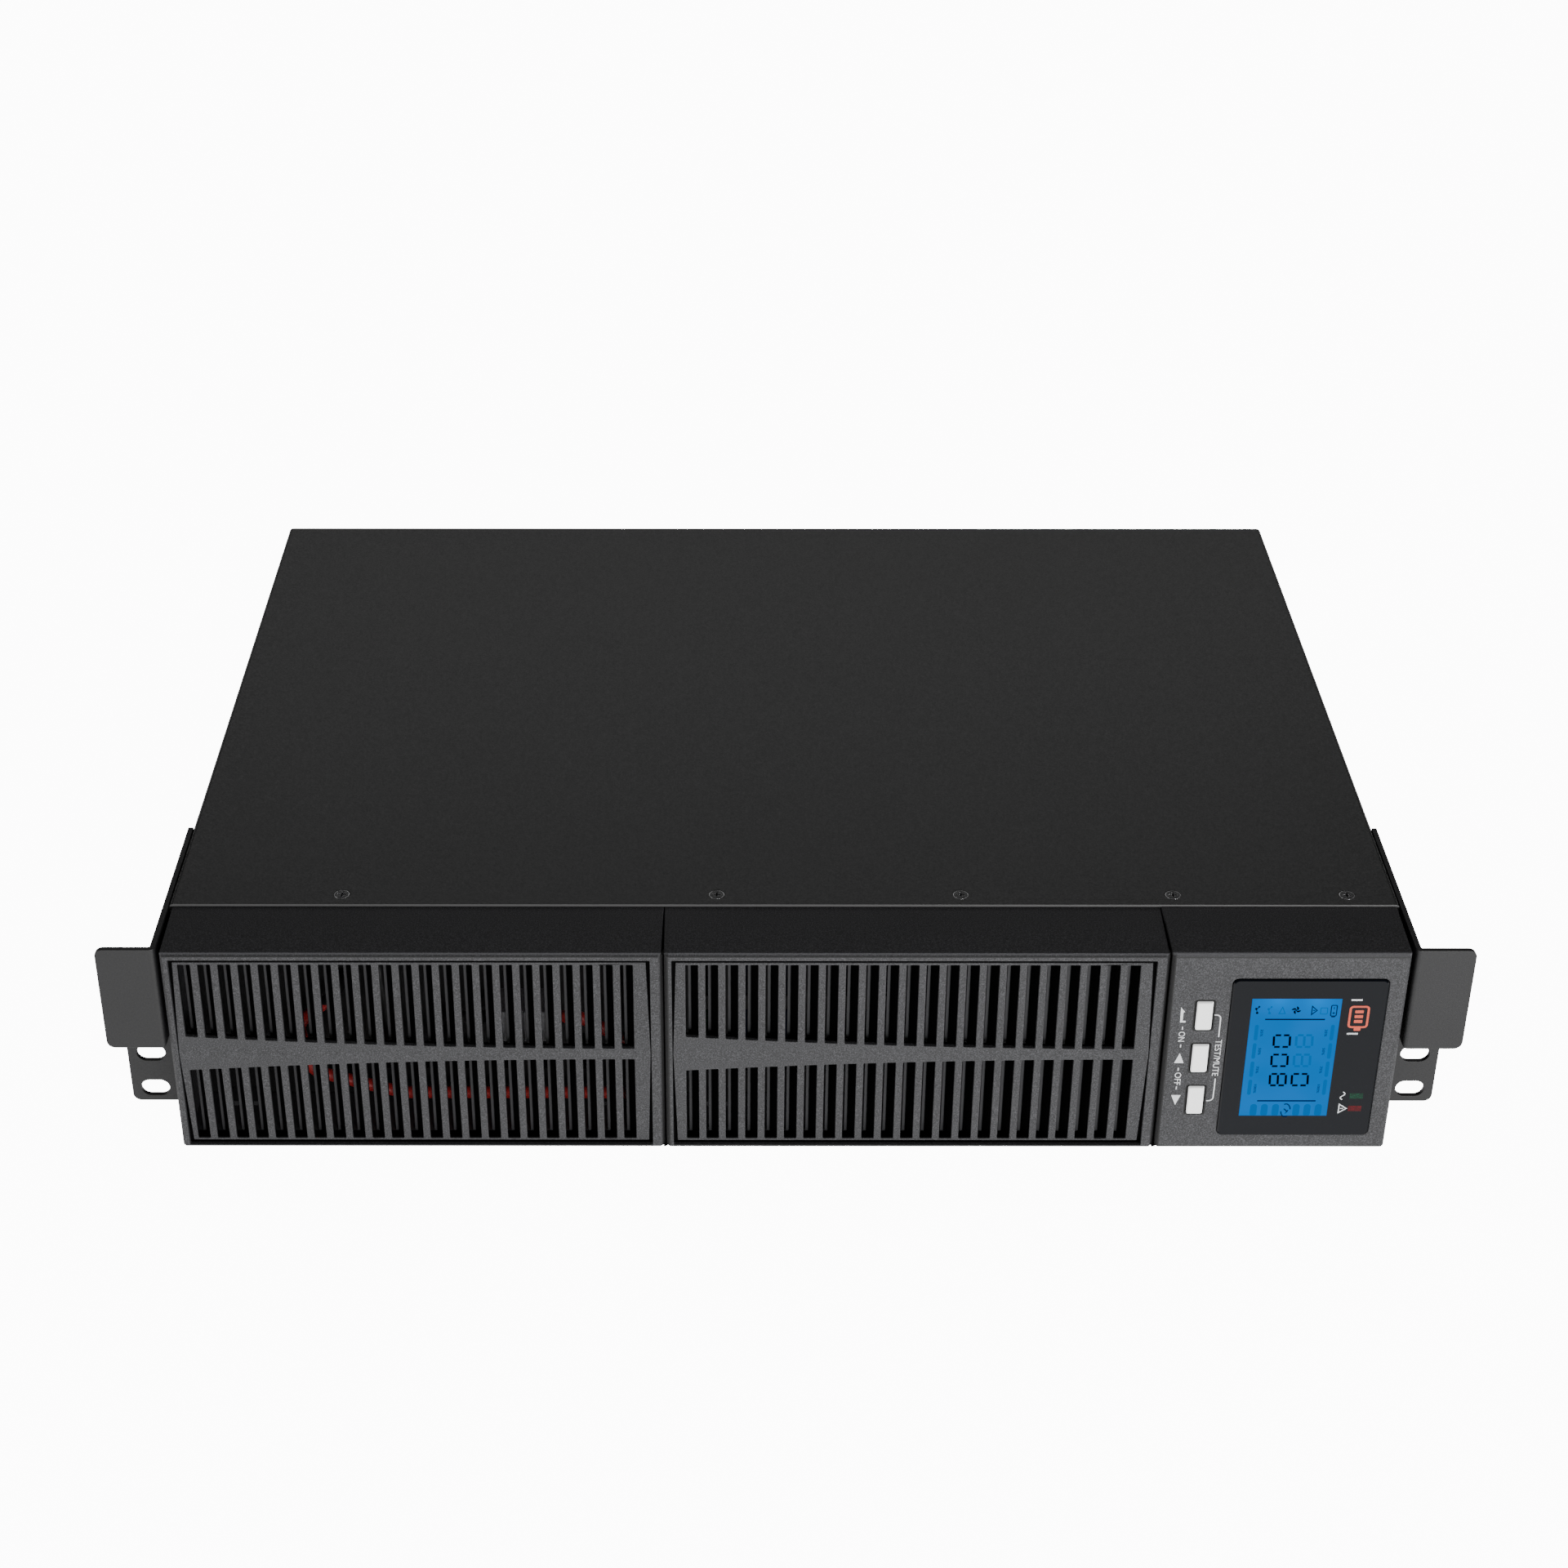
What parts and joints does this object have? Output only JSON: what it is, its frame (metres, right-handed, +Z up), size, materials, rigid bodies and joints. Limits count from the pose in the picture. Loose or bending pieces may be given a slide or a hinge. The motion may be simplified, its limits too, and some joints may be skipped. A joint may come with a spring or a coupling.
{
  "type": "uninterruptible power supply",
  "caption": "Low rack-mount power supply unit: slatted grey bezels, blue display with keys, mounting ears with handle plates, fans and sockets behind.",
  "frame": {"origin": "middle of the underside of the whole object, between the ears and between the foremost key face and the rearmost socket edge", "axes": "+X to the right seen from the front, +Y from the front panel to the rear panel, +Z up"},
  "size_m": [0.4826, 0.345, 0.086],
  "materials": {
    "cover_paint": "fine-grained satin black powder coat",
    "ear_paint": "fine-grained dark grey powder coat",
    "bezel_plastic": "spark-textured grey moulded plastic",
    "lens_black": "polished lens, black printed border around a clear window",
    "lcd_blue": "back-lit blue liquid crystal panel",
    "diffuser_white": "milky light diffuser",
    "lamp_green": "coloured clear light pipe",
    "lamp_red": "coloured clear light pipe",
    "board_green": "glass-epoxy board under solder resist",
    "key_white": "satin moulded silicone and plastic key",
    "switch_metal": "stamped cover of a small tactile switch",
    "screw_black": "black zinc screw",
    "zinc_sheet": "bright zinc-plated sheet",
    "battery_case": "moulded battery case",
    "tab_tin": "tinned brass tab",
    "insulation_red": "soft cable insulation",
    "insulation_black": "soft cable insulation",
    "connector_grey": "moulded power connector",
    "post_brass": "turned hexagon-stock brass",
    "heatsink_aluminium": "extruded aluminium",
    "package_black": "moulded epoxy package",
    "capacitor_sleeve": "shrunk sleeve over an aluminium can",
    "copper_wire": "enamelled copper winding",
    "ferrite": "sintered ferrite",
    "winding_tape": "yellow polyester tape",
    "relay_case": "moulded relay case",
    "film_box": "resin-filled capacitor box",
    "fan_black": "glass-filled fan moulding",
    "guard_chrome": "plated wire",
    "socket_black": "moulded appliance socket",
    "nickel_shell": "nickel-plated connector shell",
    "button_grey": "moulded reset button"
  },
  "bodies": {
    "chassis": {"base_pan": "cover_paint", "battery_connector": "connector_grey", "battery_door": "cover_paint", "battery_lead_black": "insulation_black", "battery_lead_red": "insulation_red", "battery_link": "insulation_black", "battery_terminals": "tab_tin", "battery_tray": "zinc_sheet", "board_standoffs": "post_brass", "bus_capacitors": "capacitor_sleeve", "card_slot_cover": "cover_paint", "control_board": "board_green", "cover_screws": "screw_black", "divider_wall": "zinc_sheet", "door_screws": "screw_black", "ear_screws": "screw_black", "fan_guards": "guard_chrome", "filter_capacitors": "film_box", "front_battery": "battery_case", "front_plate": "cover_paint", "input_breaker": "socket_black", "inverter_heatsink": "heatsink_aluminium", "inverter_inductor": "copper_wire", "left_ear": "ear_paint", "left_fan_frame": "fan_black", "main_board": "board_green", "mains_inlet": "socket_black", "outlet_sockets": "socket_black", "power_transistors": "package_black", "rear_battery": "battery_case", "rear_panel": "cover_paint", "rear_screws": "screw_black", "rectifier_heatsink": "heatsink_aluminium", "rectifier_inductor": "copper_wire", "relays": "relay_case", "right_ear": "ear_paint", "right_fan_frame": "fan_black", "serial_port": "nickel_shell", "side_screws": "screw_black", "surge_sockets": "socket_black", "top_cover": "cover_paint", "transformer_core": "ferrite", "transformer_winding": "winding_tape", "usb_port": "nickel_shell"},
    "left_bezel": {"left_grille": "bezel_plastic"},
    "middle_bezel": {"middle_grille": "bezel_plastic"},
    "display_module": {"display_housing": "bezel_plastic", "display_lens": "lens_black", "lcd_glass": "lcd_blue", "backlight": "diffuser_white", "lamp_green": "lamp_green", "lamp_red": "lamp_red", "display_board": "board_green", "key_switches": "switch_metal"},
    "enter_key": {"key_enter": "key_white"},
    "up_key": {"key_up": "key_white"},
    "down_key": {"key_down": "key_white"},
    "left_rotor": {"left_fan_rotor": "fan_black"},
    "right_rotor": {"right_fan_rotor": "fan_black"},
    "reset_plunger": {"breaker_button": "button_grey"}
  },
  "joints": [
    {"name": "left_bezel_pull", "type": "slide", "parent": "chassis", "child": "left_bezel", "axis": [0, -1, 0], "range_m": [0, 0.04]},
    {"name": "middle_bezel_pull", "type": "slide", "parent": "chassis", "child": "middle_bezel", "axis": [0, -1, 0], "range_m": [0, 0.04]},
    {"name": "display_pull", "type": "slide", "parent": "chassis", "child": "display_module", "axis": [0, -1, 0], "range_m": [0, 0.04]},
    {"name": "enter_press", "type": "slide", "parent": "display_module", "child": "enter_key", "axis": [0, 1, 0], "range_m": [0, 0.0008], "stiffness_N_per_m": 1500},
    {"name": "up_press", "type": "slide", "parent": "display_module", "child": "up_key", "axis": [0, 1, 0], "range_m": [0, 0.0008], "stiffness_N_per_m": 1500},
    {"name": "down_press", "type": "slide", "parent": "display_module", "child": "down_key", "axis": [0, 1, 0], "range_m": [0, 0.0008], "stiffness_N_per_m": 1500},
    {"name": "left_fan_spin", "type": "hinge", "parent": "chassis", "child": "left_rotor", "pos_m": [0.118, 0.153, 0.043], "axis": [0, 1, 0], "continuous": true},
    {"name": "right_fan_spin", "type": "hinge", "parent": "chassis", "child": "right_rotor", "pos_m": [0.184, 0.153, 0.043], "axis": [0, 1, 0], "continuous": true},
    {"name": "breaker_reset", "type": "slide", "parent": "chassis", "child": "reset_plunger", "axis": [0, -1, 0], "range_m": [0, 0.002], "stiffness_N_per_m": 800}
  ]
}
